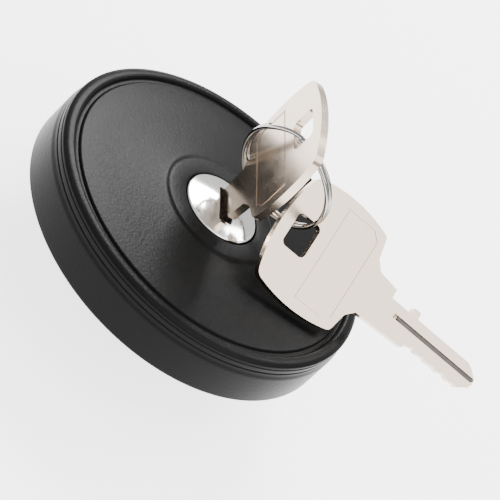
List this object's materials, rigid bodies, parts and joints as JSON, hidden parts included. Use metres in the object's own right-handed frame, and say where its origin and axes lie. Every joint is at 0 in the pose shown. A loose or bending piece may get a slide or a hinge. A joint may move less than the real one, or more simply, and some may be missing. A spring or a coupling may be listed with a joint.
{
  "type": "fuel filler cap",
  "caption": "Round black locking fuel filler cap with a domed lock face, a key in the lock, and a spare key on a split ring.",
  "frame": {"origin": "centre of the gasket's sealing face, on the cap's axis", "axes": "+Z along the cap's axis, out of the filler neck towards the key; +X along the key slot, towards the blade's plain edge"},
  "size_m": [0.0798, 0.1067, 0.0656],
  "materials": {
    "cover_plastic": "black moulded plastic, fine grain",
    "plug_plastic": "black moulded plastic, plain",
    "gasket_rubber": "soft black rubber",
    "bright_chrome": "polished",
    "cast_zinc": "die-cast, dull",
    "brass": "stamped",
    "spring_steel": "drawn wire",
    "plated_steel": "zinc plated",
    "key_nickel": "polished nickel plate",
    "ring_steel": "bright wire"
  },
  "bodies": {
    "shell": {"outer_cover": "cover_plastic", "cover_screws": "plated_steel", "lock_housing": "cast_zinc", "housing_seal": "gasket_rubber", "plug_body": "plug_plastic", "bolt_housing": "plug_plastic", "end_plate": "plug_plastic", "end_screws": "plated_steel", "gasket": "gasket_rubber", "pressure_spring": "spring_steel", "valve_spring": "spring_steel", "valve_retainer": "plug_plastic"},
    "barrel": {"barrel_face_cap": "bright_chrome", "lock_barrel": "cast_zinc", "dust_shutter": "plated_steel", "shutter_pin": "plated_steel", "barrel_clip": "spring_steel", "cam_plate": "plated_steel", "wafer_1": "brass", "wafer_2": "brass", "wafer_3": "brass", "wafer_4": "brass", "wafer_5": "brass", "wafer_spring_1": "spring_steel", "wafer_spring_2": "spring_steel", "wafer_spring_3": "spring_steel", "wafer_spring_4": "spring_steel", "wafer_spring_5": "spring_steel"},
    "bolt_a": {"locking_bolt_a": "plated_steel"},
    "bolt_b": {"locking_bolt_b": "plated_steel"},
    "bayonet": {"bayonet_plate": "plated_steel"},
    "vent_valve": {"valve_disc": "gasket_rubber"},
    "key": {"key_inserted": "key_nickel"},
    "ring": {"split_ring": "ring_steel"},
    "spare": {"key_spare": "key_nickel"}
  },
  "joints": [
    {"name": "barrel_turn", "type": "hinge", "parent": "shell", "child": "barrel", "pos_m": [0, 0, 0], "axis": [0, 0, -1], "range_deg": [0, 90]},
    {"name": "bolt_a_slide", "type": "slide", "parent": "shell", "child": "bolt_a", "axis": [1, 0, 0], "range_m": [0, 0.0047]},
    {"name": "bolt_b_slide", "type": "slide", "parent": "shell", "child": "bolt_b", "axis": [-1, 0, 0], "range_m": [0, 0.0047]},
    {"name": "bayonet_slide", "type": "slide", "parent": "shell", "child": "bayonet", "axis": [0, 0, -1], "range_m": [0, 0.003], "stiffness_N_per_m": 4000, "springref_m": -0.004, "deforming": ["pressure_spring"]},
    {"name": "valve_slide", "type": "slide", "parent": "shell", "child": "vent_valve", "axis": [0, 0, 1], "range_m": [0, 0.0012], "stiffness_N_per_m": 150, "springref_m": -0.003, "deforming": ["valve_spring"]},
    {"name": "key_slide", "type": "slide", "parent": "barrel", "child": "key", "axis": [0, 0, 1], "range_m": [0, 0.032]},
    {"name": "ring_swing", "type": "hinge", "parent": "key", "child": "ring", "pos_m": [-0.0071, 0.00078, 0.01636], "axis": [0.4019, 0, 0.9157], "range_deg": [0, 30]},
    {"name": "spare_swing", "type": "hinge", "parent": "ring", "child": "spare", "pos_m": [0.00527, 0.01446, 0.01982], "axis": [-0.4931, -0.1472, -0.8574], "range_deg": [-30, 0]}
  ],
  "couplings": [
    {"joint": "bolt_a_slide", "follows": "barrel_turn", "m_per_rad": 0.002971},
    {"joint": "bolt_b_slide", "follows": "barrel_turn", "m_per_rad": 0.002971}
  ]
}
